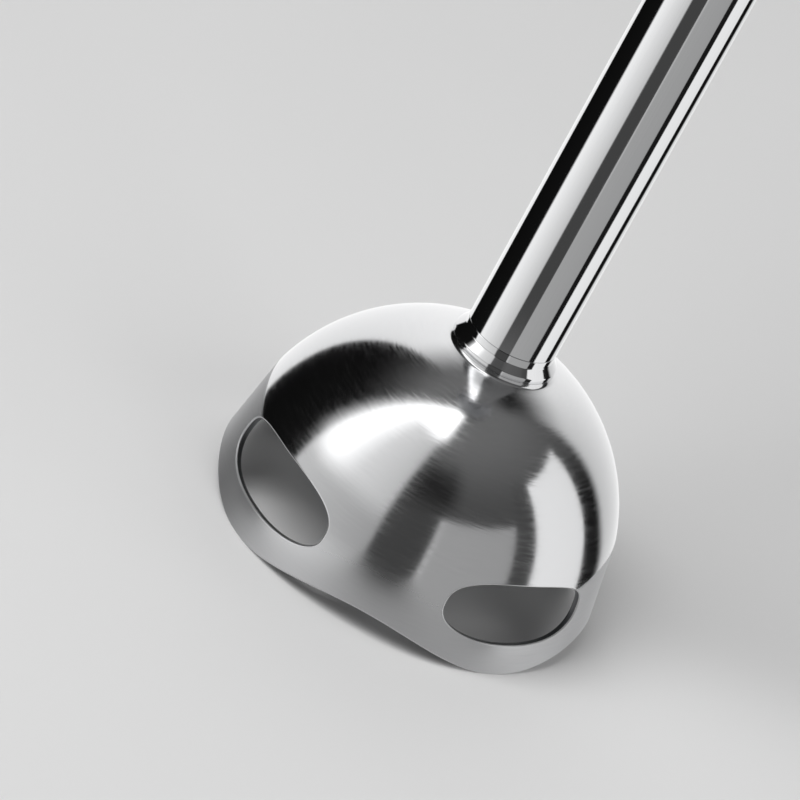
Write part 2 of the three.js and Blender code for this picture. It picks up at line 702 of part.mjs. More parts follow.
function brushHolder() {
  const box = block(10.4, 24, -3.6, 3.6, BRUSH_Z - 4.2, BRUSH_Z + 4.2);
  return cut(box, block(9, 23, -2.6, 2.6, BRUSH_Z - 3.2, BRUSH_Z + 3.2));
}

function commutator() {
  const bars = toothed(COMMUTATOR_R - 0.5, COMMUTATOR_R, SLOTS, 0.8);
  return raised(bars, COMMUTATOR_Z, COMMUTATOR_Z + COMMUTATOR_H, circle(SHAFT_R + RUN, SIDES_FINE));
}

function addMotor() {
  addPiece('lower_bracket', bracket(LOWER_BEARING_Z, 211.6), 'hard_steel');
  addPiece('upper_bracket', bracket(UPPER_BEARING_Z - 1, 286), 'hard_steel');
  addPiece('lower_rubber_mount', rubberMount(210, 210.6, 215), 'rubber');
  addPiece('upper_rubber_mount', rubberMount(290, 285, 289.4), 'rubber');
  addPiece('lower_bearing', ballBearing(LOWER_BEARING_Z), 'hard_steel');
  addPiece('upper_bearing', ballBearing(UPPER_BEARING_Z), 'hard_steel');
  addPiece('motor_bolt_front', motorBolt(-1), 'hard_steel');
  addPiece('motor_bolt_rear', motorBolt(1), 'hard_steel');
  addPiece('stator_core', statorCore(), 'laminations');
  HANDS.forEach(([name, side]) => {
    addPiece(`field_coil_${name}`, mirrored(fieldCoil(), side), 'copper');
    addPiece(`brush_holder_${name}`, mirrored(brushHolder(), side), 'bronze');
    const brush = block(COMMUTATOR_R + GAP, 17.8, -2.4, 2.4, BRUSH_Z - 3, BRUSH_Z + 3);
    addPiece(`brush_${name}`, mirrored(brush, side), 'carbon');
  });
  addPiece('motor_shaft', rod(SHAFT_R, ...SHAFT_Z, SIDES_FINE), 'hard_steel');
  addPiece('armature_core', armatureCore(), 'laminations');
  addPiece('armature_winding', armatureWinding(), 'copper');
  addPiece('commutator', commutator(), 'copper');
  addPiece('cooling_fan', coolingFan(), 'grey_plastic');
  addPiece('drive_coupler', driveCoupler(), 'pale_nylon');
}

addLeg();
addHousing();
addMotor();

export default blender;
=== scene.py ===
import json
import math

import bmesh
import bpy
import numpy as np
from mathutils import Matrix, Vector


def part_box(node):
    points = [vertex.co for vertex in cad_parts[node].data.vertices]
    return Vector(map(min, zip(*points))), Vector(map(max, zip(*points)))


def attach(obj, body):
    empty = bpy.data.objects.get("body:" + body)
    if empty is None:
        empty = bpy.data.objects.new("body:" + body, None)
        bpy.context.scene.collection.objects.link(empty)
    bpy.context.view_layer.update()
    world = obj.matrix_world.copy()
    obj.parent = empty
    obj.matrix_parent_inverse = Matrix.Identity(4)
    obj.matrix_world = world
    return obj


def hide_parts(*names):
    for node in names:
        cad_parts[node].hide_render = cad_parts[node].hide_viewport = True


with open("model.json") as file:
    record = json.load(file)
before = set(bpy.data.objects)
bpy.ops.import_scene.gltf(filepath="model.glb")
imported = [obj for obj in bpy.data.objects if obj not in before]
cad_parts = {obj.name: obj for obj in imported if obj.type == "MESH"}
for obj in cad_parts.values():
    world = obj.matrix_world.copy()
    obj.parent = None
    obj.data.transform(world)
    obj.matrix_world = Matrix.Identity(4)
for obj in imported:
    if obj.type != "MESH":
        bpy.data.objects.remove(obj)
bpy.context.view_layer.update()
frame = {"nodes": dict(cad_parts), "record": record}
scene = bpy.context.scene
TURN = 2 * math.pi

# Sizes in millimetres, as the part has them. Angles run from the front, -Y, towards +X.
DOME_R = 33.54
DOME_CENTRE_Z = 8.03
SHEET = 1.2
RIM_R = 34.42
RIM_WAVE = 4.12
SKIRT_HEIGHT = 13.8
NECK_R = 9.2
NECK_FILLET = 0.9
NECK_TOP_Z = 40.95
BORE_R = 7.0
WINDOW_HALF_WIDTH = 14.5
WINDOW_HALF_HEIGHT = 5.9
WINDOW_CENTRE_Z = 11.2
SHARP_CREASE = 0.5      # half the height of the join at the crease, at the sides of the object
SOFT_CREASE = 4.0       # how far the join reaches above the crease, at its front and back
FRONT_SLOPE = -0.06     # change of radius per millimetre of height at the rim, at front and back
WINDOW_ROUNDNESS = 2.6
SHOULDER_Z = 22.0       # the quarters round the windows end here, and the dome begins
LIP = 0.3               # radius of the rounded edges of the sheet
TUBE_R = 8.0
HOUSING_OUTLINE = (
    (24.6, 186.5), (26, 200), (29, 220), (31, 248), (30.4, 278), (28, 305), (26.6, 335), (26.8, 362),
)
HOUSING_BOTTOM_Z = 186.5
HOUSING_TOP_Z = 362.0
HOUSING_WALL = 2.2
HALF_SEAM = 0.15        # half the gap between the two halves of the case
GRIP_SWEEP = math.radians(58)
GRIP_BOTTOM_Z = 214.0
GRIP_TOP_Z = 350.0
GRIP_LIFT = 1.5         # how far the grip stands out from the case
RIB_BOTTOM_Z = 222.0
RIB_TOP_Z = 288.0
RIB_PITCH = 6.0
BEZEL_Z = 320.0
KEY_HEIGHTS = (("speed", 330.5), ("turbo", 309.5))
RELEASE_Z = 204.0
INLET_Z = 334.0
DIAL_RIDGES = 16
CUT_FROM = -40.0        # a cutter for the case's wall runs between these, from outside to inside
CUT_TO = -15.0


# ---- meshes -------------------------------------------------------------------------------------

def turned_points(radius, height, angle):
    """Points at a radius, height and angle from the front: x = r sin a, y = -r cos a."""
    radius, height, angle = np.broadcast_arrays(radius, height, angle)
    return np.stack([radius * np.sin(angle), -radius * np.cos(angle), height], axis=-1)


def grid_faces(rows, columns, wrap_rows=False, wrap_columns=False):
    """Quads between neighbouring rows and columns of a grid; a wrapped side meets its first line."""
    i = np.arange(rows if wrap_rows else rows - 1)
    j = np.arange(columns if wrap_columns else columns - 1)
    i, j = np.meshgrid(i, j, indexing="ij")
    below, beside = (i + 1) % rows, (j + 1) % columns
    corners = [i * columns + j, below * columns + j, below * columns + beside, i * columns + beside]
    return np.stack(corners, axis=-1).reshape(-1, 4)


def mesh_piece(name, grids, weld=0.002, crease_angle=28):
    """One closed mesh from grids of points in mm, welded where they meet, with its faces outward.

    Each grid is (points, wrap rows, wrap columns), and may add the number of its finish.
    """
    points, faces, finishes, count = [], [], [], 0
    for grid, wrap_rows, wrap_columns, *finish in grids:
        rows, columns = grid.shape[:2]
        points.append(grid.reshape(-1, 3))
        quads = grid_faces(rows, columns, wrap_rows, wrap_columns)
        faces.append(quads + count)
        finishes.append(np.full(len(quads), finish[0] if finish else 0))
        count += rows * columns
    mesh = bpy.data.meshes.new(name)
    mesh.from_pydata((np.concatenate(points) / 1000).tolist(), [], np.concatenate(faces).tolist())
    mesh.polygons.foreach_set("material_index", np.concatenate(finishes))
    return finish_mesh(name, mesh, weld, crease_angle)


def finish_mesh(name, mesh, weld=0.002, crease_angle=28):
    """Merges doubles, drops empty faces, turns faces outward and smooths all but the sharp edges."""
    work = bmesh.new()
    work.from_mesh(mesh)
    bmesh.ops.remove_doubles(work, verts=work.verts, dist=weld / 1000)
    bmesh.ops.dissolve_degenerate(work, edges=work.edges, dist=1e-7)
    bmesh.ops.recalc_face_normals(work, faces=work.faces)
    work.to_mesh(mesh)
    work.free()
    mesh.shade_smooth()
    mesh.set_sharp_from_angle(angle=math.radians(crease_angle))
    piece = bpy.data.objects.new(name, mesh)
    scene.collection.objects.link(piece)
    return piece


def softened(outline, radius, steps=4):
    """An outline with each corner replaced by a quadratic arc that starts radius before it."""
    line = np.array(outline, float)
    size = len(line)
    out = []
    for k in range(size):
        here, before, after = line[k], line[k - 1], line[(k + 1) % size]
        if here[0] < 1e-6:
            out.append(here[None])
            continue
        back, ahead = before - here, after - here
        reach_back = min(radius, np.linalg.norm(back) * 0.45)
        reach_ahead = min(radius, np.linalg.norm(ahead) * 0.45)
        start = here + back / np.linalg.norm(back) * reach_back
        end = here + ahead / np.linalg.norm(ahead) * reach_ahead
        t = np.linspace(0, 1, steps + 1)[:, None]
        out.append((1 - t) ** 2 * start + 2 * t * (1 - t) * here + t ** 2 * end)
    return np.concatenate(out)


def turned(name, outline, corner=0.3, sides=96, crease_angle=28):
    """A closed [radius, height] outline, its corners softened, turned a full circle about Z."""
    line = softened(outline, corner)
    angle = np.linspace(0, TURN, sides, endpoint=False)
    grid = turned_points(line[:, :1], line[:, 1:], angle[None])
    return mesh_piece(name, [(grid, True, True)], crease_angle=crease_angle)


def ring_piece(name, node, inner, corner=0.15, sides=48):
    """A plain turned ring with the outside and the height of a CAD node, and a bore."""
    low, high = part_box(node)
    outer = (high.x - low.x) * 500
    z0, z1 = low.z * 1000, high.z * 1000
    outline = [[inner, z0], [outer, z0], [outer, z1], [inner, z1]]
    return turned(name, outline, corner, sides)


# ---- the bell -----------------------------------------------------------------------------------

def rim_height(angle):
    """The rim's wave: height is half the wave times (1 + cos 4a), high between the windows."""
    return RIM_WAVE / 2 * (1 + np.cos(4 * angle))


def smooth_step(share):
    """0 to 1 along 3s^2 - 2s^3."""
    share = np.clip(share, 0, 1)
    return share * share * (3 - 2 * share)


def bell_radius(angle, z):
    """Outside radius: a sphere above the crease, and below it a straight flare out to the rim.

    A cubic with the end slopes of both joins them. It is a narrow strip at the sides of the object,
    and at its front and back it takes up the whole flare.
    """
    low = rim_height(angle)
    crease = low + SKIRT_HEIGHT
    facing = smooth_step((np.cos(2 * angle) + 0.5) / 0.8)
    at_crease = np.sqrt(DOME_R ** 2 - (crease - DOME_CENTRE_Z) ** 2)
    slope = (at_crease - RIM_R) / SKIRT_HEIGHT
    slope = slope + (FRONT_SLOPE - slope) * facing
    from_z = crease - SHARP_CREASE - (SKIRT_HEIGHT - SHARP_CREASE) * facing
    to_z = crease + SHARP_CREASE + (SOFT_CREASE - SHARP_CREASE) * facing
    flare = RIM_R + slope * (z - low)
    sphere = np.sqrt(DOME_R ** 2 - (z - DOME_CENTRE_Z) ** 2)
    start = RIM_R + slope * (from_z - low)
    end = np.sqrt(DOME_R ** 2 - (to_z - DOME_CENTRE_Z) ** 2)
    run = to_z - from_z
    t = np.clip((z - from_z) / run, 0, 1)
    join = start * (1 + 2 * t) * (1 - t) ** 2 + end * t * t * (3 - 2 * t)
    join = join + run * t * (1 - t) * (slope * (1 - t) + (to_z - DOME_CENTRE_Z) / end * t)
    return np.where(z < from_z, flare, np.where(z > to_z, sphere, join))


def bell_normal(angle, z):
    """Outward unit normal of the bell from the slopes of its radius along angle and height."""
    step = 0.05
    radius = bell_radius(angle, z)
    along = (bell_radius(angle, z + step) - bell_radius(angle, z - step)) / (2 * step)
    turn = 0.002
    round_slope = (bell_radius(angle + turn, z) - bell_radius(angle - turn, z)) / (2 * turn * radius)
    outward = np.stack([np.sin(angle), -np.cos(angle), np.zeros_like(angle)], axis=-1)
    sideways = np.stack([np.cos(angle), np.sin(angle), np.zeros_like(angle)], axis=-1)
    normal = outward - sideways * round_slope[..., None]
    normal = normal - np.array([0, 0, 1.0]) * along[..., None]
    return normal / np.linalg.norm(normal, axis=-1, keepdims=True)


def bell_points(angle, z, depth=0.0):
    """Points of the bell's sheet at an angle and a height, sunk below its outside by a depth."""
    angle, z = np.broadcast_arrays(angle, z)
    outside = turned_points(bell_radius(angle, z), z, angle)
    return outside - bell_normal(angle, z) * depth


def window_sector(centre, across, rows, upright=40):
    """Angles and heights of a grid from a window's edge to the border of its quarter of the bell.

    Every column runs straight from the rounded outline |x/a|^p + |z/b|^p = 1 to the border.
    """
    quarter = math.pi / 4
    sweep = np.linspace(-1, 1, across + 1)[:-1]
    climb = np.linspace(0, 1, upright + 1)[:-1]
    side_u = np.concatenate([sweep, np.ones(upright), -sweep, -np.ones(upright)]) * quarter
    low = rim_height(side_u + centre)
    share = np.concatenate([np.zeros(across), climb, np.ones(across), 1 - climb])
    side_z = low + (SHOULDER_Z - low) * share
    x, z = side_u * RIM_R, side_z - WINDOW_CENTRE_Z
    power = WINDOW_ROUNDNESS
    width, height = np.abs(x / WINDOW_HALF_WIDTH), np.abs(z / WINDOW_HALF_HEIGHT)
    fit = (width ** power + height ** power) ** (-1 / power)
    edge_u = np.arcsin(x * fit / DOME_R)
    edge_z = WINDOW_CENTRE_Z + z * fit
    s = np.linspace(0, 1, rows)[:, None] ** 1.35
    return edge_u + (side_u - edge_u) * s + centre, edge_z + (side_z - edge_z) * s


def lip_grid(outer_edge, inner_edge, outer_normal, pull):
    """A rounded lip between two edges of a sheet: half a stadium, bulging along pull by LIP."""
    turn = np.linspace(0, math.pi / 2, 4)[:, None, None]
    upper = outer_edge - outer_normal * LIP * (1 - np.cos(turn)) + pull * LIP * np.sin(turn)
    turn = turn[::-1]
    lower = inner_edge + outer_normal * LIP * (1 - np.cos(turn)) + pull * LIP * np.sin(turn)
    return np.concatenate([upper, lower])


def edge_pull(edge, normal, away_from):
    """Unit directions in the sheet that point out of its edge, away from a second line of points."""
    pull = edge - away_from
    pull = pull - normal * (pull * normal).sum(-1, keepdims=True)
    along = np.roll(edge, -1, 0) - np.roll(edge, 1, 0)
    along = along / np.linalg.norm(along, axis=-1, keepdims=True)
    pull = pull - along * (pull * along).sum(-1, keepdims=True)
    return pull / np.linalg.norm(pull, axis=-1, keepdims=True)


def bell_piece():
    """The bell: four quarters round the windows, the dome above, lips at every edge, and the neck."""
    grids = []
    across = 84
    for quarter in range(4):
        centre = math.pi / 4 + quarter * math.pi / 2
        angle, height = window_sector(centre, across, 12)
        inner = bell_points(angle, height, SHEET)
        angle, height = window_sector(centre, across, 40)
        outer = bell_points(angle, height)
        # The inside of each quarter takes finish 1, steel painted dark as painted shade.
        grids += [(outer, False, True, 0), (inner, False, True, 1)]
        normal = bell_normal(angle[0], height[0])
        pull = edge_pull(outer[0], normal, outer[1])
        lip = lip_grid(outer[0], inner[0], normal, pull)
        # The inner half of each window's lip takes finish 1, steel painted dark as a painted dark
        # reflection.
        grids += [(lip[:4], False, True, 0), (lip[3:], False, True, 1)]
    angle = np.linspace(0, TURN, 4 * across, endpoint=False)
    rim = rim_height(angle)
    normal = bell_normal(angle, rim)
    outer, inner = bell_points(angle, rim), bell_points(angle, rim, SHEET)
    pull = edge_pull(outer, normal, bell_points(angle, rim + 0.5))
    lip = lip_grid(outer, inner, normal, pull)
    # The inner half of the rim's lip takes finish 1, steel painted dark as a painted dark reflection.
    grids += [(lip[:6], False, True, 0), (lip[5:], False, True, 1)]
    dome, under = dome_grids(angle)
    # The dome's inside takes finish 1, steel painted dark as painted shade.
    grids += [(dome, False, True, 0), (under, False, True, 1)]
    return mesh_piece("bell", grids, crease_angle=50)


def dome_grids(angle):
    """The dome's outside up to the neck, with a fillet and the neck's top, and its inside."""
    fillet_r = NECK_R + NECK_FILLET
    reach = DOME_R + NECK_FILLET
    touch = math.acos(fillet_r / reach)
    start = math.asin((SHOULDER_Z - DOME_CENTRE_Z) / DOME_R)
    rise = np.linspace(start, touch, 34)
    dome = np.stack([DOME_R * np.cos(rise), DOME_CENTRE_Z + DOME_R * np.sin(rise)], -1)
    fillet_z = DOME_CENTRE_Z + reach * math.sin(touch)
    sweep = np.linspace(math.pi + touch, math.pi, 9)[1:]
    fillet = np.stack([np.cos(sweep), np.sin(sweep)], -1) * NECK_FILLET + [fillet_r, fillet_z]
    inner_r, lowest = DOME_R - SHEET, 0.445
    drop = np.linspace(math.acos(BORE_R / inner_r), lowest, 30)
    under = np.stack([inner_r * np.cos(drop), DOME_CENTRE_Z + inner_r * np.sin(drop)], -1)
    _, inner_y, inner_z = bell_points(np.array([0.0]), np.array([SHOULDER_Z]), SHEET)[0]
    seam = [[-inner_y, inner_z]]
    under = under[under[:, 1] > inner_z + 0.3]
    top = np.array([[NECK_R, NECK_TOP_Z], [BORE_R, NECK_TOP_Z]])
    outside = np.concatenate([dome, fillet, top])
    inside = np.concatenate([top[1:], under, seam])
    return [turned_points(line[:, :1], line[:, 1:], angle[None]) for line in (outside, inside)]


# ---- the leg ------------------------------------------------------------------------------------

def collar_piece():
    """The weld collar: a short wide band, a cone, and a band as wide as the tube."""
    return turned("collar", [
        [BORE_R, NECK_TOP_Z], [9.22, NECK_TOP_Z], [9.22, 41.85], [8.02, 43.15], [8.02, 44.5],
        [BORE_R, 44.5],
    ], corner=0.14, sides=192, crease_angle=20)


def tube_piece():
    """The leg's tube, with a small chamfer at the seam above the collar."""
    return turned("leg_tube_polished", [
        [7.2, 44.54], [TUBE_R, 44.54], [TUBE_R, 170], [7.2, 170],
    ], corner=0.08, sides=192, crease_angle=20)


def leg_head_piece():
    """The leg's head: a flared cone, the flat shoulder, and the spigot with its two grooves."""
    spline = catmull_rom([
        [9.4, 148.4], [9.9, 150], [11, 156], [14, 163], [19, 169], [22, 172.4], [22.4, 174],
    ], 8)
    spigot = [
        [22.4, 175.7], [17, 175.7], [17, 179.6], [15.6, 179.6], [15.6, 182], [17, 182], [17, 185],
        [15.2, 185], [15.2, 190], [17, 190], [17, 196], [16, 197], [9.4, 197], [9.4, 181], [6, 181],
        [6, 171], [8.3, 171], [8.3, 148], [9.1, 148],
    ]
    line = np.concatenate([spline, softened(spigot, 0.25)])
    angle = np.linspace(0, TURN, 128, endpoint=False)
    grid = turned_points(line[:, :1], line[:, 1:], angle[None])
    return mesh_piece("leg_head_cone", [(grid, True, True)])


def catmull_rom(points, steps):
    """A Catmull-Rom curve through points.

    On each span it is (2b + (c - a)t + (2a - 5b + 4c - d)t^2 + (3b - 3c + d - a)t^3) / 2.
    """
    p = np.array(points, float)
    p = np.concatenate([p[:1], p, p[-1:]])
    a, b, c, d = (p[k:len(p) - 3 + k, None] for k in range(4))
    t = np.linspace(0, 1, steps, endpoint=False)[None, :, None]
    curve = 2 * b + (c - a) * t + (2 * a - 5 * b + 4 * c - d) * t ** 2
    curve = (curve + (3 * b - 3 * c + d - a) * t ** 3) / 2
    return np.concatenate([curve.reshape(-1, 2), p[-1:]])


HOUSING_LINE = catmull_rom(HOUSING_OUTLINE, 40)


def housing_r(z):
    """The housing's radius at a height, read off its side curve."""
    return np.interp(z, HOUSING_LINE[:, 1], HOUSING_LINE[:, 0])


# ---- the motor unit -----------------------------------------------------------------------------

def half_shell(name, front):
    """Half of the case: its side curve turned through a half circle, with level rims and flat walls."""
    levels, rim, setback = 90, 0.5, 0.4
    z = np.linspace(HOUSING_BOTTOM_Z + rim, HOUSING_TOP_Z - rim, levels - 2)
    z = np.concatenate([[HOUSING_BOTTOM_Z], z, [HOUSING_TOP_Z]])
    outer = np.stack([housing_r(z), z], -1)
    outer[[0, -1], 0] -= setback
    inner = np.stack([housing_r(z) - HOUSING_WALL, z], -1)
    line = np.concatenate([outer, inner[::-1]])
    half = math.pi / 2 - np.arcsin(HALF_SEAM / line[:, :1])
    angle = np.linspace(-1, 1, 97)[None] * half + (0 if front else math.pi)
    skin = turned_points(line[:, :1], line[:, 1:], angle)
    outside, inside = skin[:levels], skin[levels:][::-1]
    walls = [(np.stack([outside[:, side], inside[:, side]]), False, False) for side in (0, -1)]
    return mesh_piece(name, [(skin, True, False), *walls])


def rounded_outline(half_width, half_height, corner, steps=10):
    """A rectangle with round corners, as [across, up] pairs, counter-clockwise."""
    t = np.linspace(0, math.pi / 2, steps)
    parts = []
    for k, (sx, sy) in enumerate(((1, 1), (-1, 1), (-1, -1), (1, -1))):
        sweep = t + k * math.pi / 2
        centre = np.array([sx * (half_width - corner), sy * (half_height - corner)])
        parts.append(centre + corner * np.stack([np.cos(sweep), np.sin(sweep)], -1))
    return np.concatenate(parts)


def pad_grid(outline, centre_z, inner, face_offset, crown=0.0, edge=0.6, rings=7):
    """A pad on the housing: an outline carried out from a depth, rounded over its edge, and closed.

    Rings of the outline shrink to its middle; the face follows the housing's side curve.
    """
    turn = np.linspace(0, math.pi / 2, 5)
    size = np.abs(outline).max(0)
    grid = [pad_ring(outline * 0, centre_z, inner), pad_ring(outline, centre_z, inner)]
    for shrink, drop in zip(edge * (1 - np.cos(turn)), edge * (1 - np.sin(turn))):
        grid.append(pad_ring(outline * (1 - shrink / size), centre_z, face_offset - drop))
    for scale in np.linspace(1, 0, rings + 1)[1:]:
        ring = outline * (1 - edge / size) * scale
        grid.append(pad_ring(ring, centre_z, face_offset + crown * (1 - scale ** 2)))
    return np.stack(grid)


def pad_ring(ring, centre_z, offset):
    """A ring of points over the housing: y runs to the housing's surface plus an offset."""
    x, z = ring[:, 0], ring[:, 1] + centre_z
    radius = housing_r(z) + offset
    return np.stack([x, -np.sqrt(np.maximum(radius ** 2 - x ** 2, 1)), z], -1)


def about_z(points, angle):
    """Points turned about Z by an angle."""
    c, s = math.cos(angle), math.sin(angle)
    return points @ np.array([[c, s, 0], [-s, c, 0], [0, 0, 1]])


def pad(name, outline, centre_z, inner, offset, turn=0.0, crown=0.0, edge=0.6):
    """One pad piece, turned round the housing to face its own way."""
    grid = about_z(pad_grid(outline, centre_z, inner, offset, crown, edge), turn)
    return mesh_piece(name, [(grid, False, True)], crease_angle=35)


def cut_away(piece, cutters):
    """Cuts other closed meshes out of a piece and removes them."""
    for cutter in cutters:
        step = piece.modifiers.new("cut", "BOOLEAN")
        step.operation = "DIFFERENCE"
        step.solver = "EXACT"
        step.object = cutter
    bpy.context.view_layer.update()
    graph = bpy.context.evaluated_depsgraph_get()
    result = bpy.data.meshes.new_from_object(piece.evaluated_get(graph))
    piece.modifiers.clear()
    piece.data = result
    for cutter in cutters:
        bpy.data.objects.remove(cutter)
    result.shade_smooth()
    result.set_sharp_from_angle(angle=math.radians(30))
    return piece


def plug_through(outline, centre_z, y0=CUT_FROM, y1=CUT_TO, turn=0.0):
    """A closed bar with an [across, up] outline that runs from y0 to y1, for cutting openings."""
    rows = []
    for size, y in ((0, y0), (1, y0), (1, y1), (0, y1)):
        across, up = (outline * size).T
        rows.append(np.stack([across, np.full_like(across, y), up + centre_z], -1))
    return mesh_piece("cutter", [(about_z(np.stack(rows), turn), False, True)])


def soft_grip_piece():
    """The front grip: a skin with quarter-round borders, and cross ribs below the keys.

    Between the ribs the skin sinks by the cube of a cosine wave along the height.
    """
    z = np.linspace(GRIP_BOTTOM_Z, GRIP_TOP_Z, 340)
    u = np.linspace(-1, 1, 121)
    angle = u[None] * GRIP_SWEEP * np.ones_like(z)[:, None]
    middle_r, round_edge, rib_depth, fade = 29, 1.2, 0.45, 3
    to_ends = np.minimum(z - GRIP_BOTTOM_Z, GRIP_TOP_Z - z)[:, None]
    to_sides = (1 - np.abs(u))[None] * GRIP_SWEEP * middle_r
    to_edge = np.clip(np.minimum(to_ends, to_sides) / round_edge, 0, 1)
    wave = 0.5 - 0.5 * np.cos(TURN * (z - RIB_BOTTOM_Z) / RIB_PITCH)
    ribbed = np.clip((z - RIB_BOTTOM_Z) / fade, 0, 1) * np.clip((RIB_TOP_Z - z) / fade, 0, 1)
    sideways = np.clip((0.72 - np.abs(u)) / 0.08, 0, 1)
    lift = GRIP_LIFT - rib_depth * (wave ** 3 * ribbed)[:, None] * sideways[None]
    lift = lift * np.sqrt(np.clip(1 - (1 - to_edge) ** 2, 0, 1)) + 0.2
    lift = np.minimum(lift, GRIP_LIFT)
    outer = turned_points(housing_r(z)[:, None] + lift, z[:, None], angle)
    inner = turned_points(housing_r(z)[:, None] + 0.15, z[:, None], angle)
    skins = [(outer, False, False), (inner, False, False)]
    ends = [(np.stack([outer[k], inner[k]]), False, False) for k in (0, -1)]
    sides = [(np.stack([outer[:, k], inner[:, k]]), False, False) for k in (0, -1)]
    return mesh_piece("front_grip", [*skins, *ends, *sides], crease_angle=50)


def dial_piece():
    """The speed dial: a ridged wheel r = R + 0.4 cos 16a with a crowned top and a sunk pointer."""
    angle = np.linspace(0, TURN, 256, endpoint=False)
    outline = softened([
        [0.0, 370.4], [14.6, 370.4], [14.6, 379.6], [13.7, 380.6], [13.2, 381.6], [10.6, 382.8],
        [0.0, 383.2],
    ], 0.5)
    ridged = np.clip((outline[:, 0] - 12.5) / 2, 0, 1) * np.clip((380.2 - outline[:, 1]) / 1.5, 0, 1)
    radius = outline[:, :1] + 0.4 * ridged[:, None] * np.cos(DIAL_RIDGES * angle)[None]
    grid = turned_points(radius, outline[:, 1:], angle[None])
    dial = mesh_piece("dial_wheel", [(grid, False, True)], crease_angle=35)
    pointer = plug_through(rounded_outline(0.6, 2.4, 0.55), 10.4, 0, 3)
    pointer.data.transform(Matrix.Rotation(math.pi / 2, 4, "X"))
    pointer.data.transform(Matrix.Translation((0, 0, 0.3825)))
    return cut_away(dial, [pointer])


def gland_piece():
    """The cord gland: a bored sleeve with three ribs, turned about the inlet's axis along Y."""
    face = housing_r(INLET_Z)
    line = softened([
        [4, 17], [5.9, 17], [5.9, face + 0.3], [7.6, face + 0.3], [7.5, face + 1.6], [6.6, face + 1.9],
        [6.6, face + 2.6], [7.0, face + 2.9], [6.8, face + 3.9], [6.0, face + 4.2], [6.0, face + 4.8],
        [5.9, face + 5.8], [4, face + 5.8],
    ], 0.25)
    angle = np.linspace(0, TURN, 64, endpoint=False)[None]
    radius, along = line[:, :1], line[:, 1:]
    x, z = radius * np.cos(angle), INLET_Z + radius * np.sin(angle)
    grid = np.stack(np.broadcast_arrays(x, along, z), -1)
    return mesh_piece("inlet_gland", [(grid, True, True)])


# ---- finishes -----------------------------------------------------------------------------------

class Nodes:
    """A node tree, the coordinates that its textures read, and helpers that add and link nodes."""

    def __init__(self, tree, coordinates):
        self.tree = tree
        self.place = self.node("ShaderNodeTexCoord").outputs[coordinates]

    def node(self, kind, **settings):
        """Adds a node of a kind, with its settings."""
        made = self.tree.nodes.new(kind)
        for key, value in settings.items():
            setattr(made, key, value)
        return made

    def link(self, source, target):
        """Joins an output to an input."""
        self.tree.links.new(source, target)

    def stretched(self, scale, turn=(0, 0, 0)):
        """Object coordinates scaled by axis, in repeats per metre."""
        mapping = self.node("ShaderNodeMapping")
        mapping.inputs["Scale"].default_value = scale
        mapping.inputs["Rotation"].default_value = turn
        self.link(self.place, mapping.inputs["Vector"])
        return mapping.outputs["Vector"]

    def noise(self, scale, detail=3.0, vector=None, rough=0.5):
        """Smooth noise, in repeats per metre, over the object's place or another vector."""
        made = self.node("ShaderNodeTexNoise")
        made.inputs["Scale"].default_value = scale
        made.inputs["Detail"].default_value = detail
        made.inputs["Roughness"].default_value = rough
        self.link(vector if vector is not None else self.place, made.inputs["Vector"])
        return made.outputs["Fac"]

    def span(self, source, low, high, start=0.3, end=0.7, smooth=False):
        """Maps start..end of a source onto low..high, clamped."""
        made = self.node("ShaderNodeMapRange")
        if smooth:
            made.interpolation_type = "SMOOTHSTEP"
        made.inputs["From Min"].default_value = start
        made.inputs["From Max"].default_value = end
        made.inputs["To Min"].default_value = low
        made.inputs["To Max"].default_value = high
        self.link(source, made.inputs["Value"])
        return made.outputs["Result"]

    def maths(self, operation, a, b=None):
        """One sum on sockets or numbers."""
        made = self.node("ShaderNodeMath", operation=operation)
        for socket, value in zip(made.inputs, (a, b)):
            if value is None:
                continue
            if isinstance(value, (int, float)):
                socket.default_value = value
            else:
                self.link(value, socket)
        return made.outputs[0]


class Finish(Nodes):
    """A material built from nodes that feed the sockets of its Principled shader."""

    def __init__(self, name, colour, metal=0.0, roughness=0.5, **constants):
        self.material = bpy.data.materials.new(name)
        self.material.use_nodes = True
        super().__init__(self.material.node_tree, "Object")
        self.shader = self.tree.nodes["Principled BSDF"]
        self.shader.inputs["Base Color"].default_value = (*colour, 1)
        self.shader.inputs["Metallic"].default_value = metal
        self.shader.inputs["Roughness"].default_value = roughness
        for socket, value in constants.items():
            self.shader.inputs[socket.replace("_", " ")].default_value = value
        self.height = None

    def tint(self, factor, dark, light):
        """Base colour mixed between two shades by a factor."""
        mix = self.node("ShaderNodeMix", data_type="RGBA")
        mix.inputs["A"].default_value = (*dark, 1)
        mix.inputs["B"].default_value = (*light, 1)
        self.link(factor, mix.inputs["Factor"])
        self.link(mix.outputs["Result"], self.shader.inputs["Base Color"])

    def rough(self, source):
        """Roughness read from a source."""
        self.link(source, self.shader.inputs["Roughness"])

    def bump(self, source, strength, distance):
        """Adds relief from a source over the relief that is there already; distance in metres."""
        made = self.node("ShaderNodeBump")
        made.inputs["Strength"].default_value = strength
        made.inputs["Distance"].default_value = distance
        self.link(source, made.inputs["Height"])
        if self.height is not None:
            self.link(self.height, made.inputs["Normal"])
        self.height = made.outputs["Normal"]
        self.link(self.height, self.shader.inputs["Normal"])


def shade(colour, factor):
    """A colour made darker or lighter."""
    return tuple(min(1.0, c * factor) for c in colour)


def polar_place(finish):
    """Radius from Z, the angle about Z and the height, as three sockets in metres and radians."""
    split = finish.node("ShaderNodeSeparateXYZ")
    finish.link(finish.place, split.inputs[0])
    x, y, z = split.outputs
    squares = finish.maths("ADD", finish.maths("MULTIPLY", x, x), finish.maths("MULTIPLY", y, y))
    angle = finish.maths("ARCTAN2", x, finish.maths("MULTIPLY", y, -1.0))
    return finish.maths("SQRT", squares), angle, z


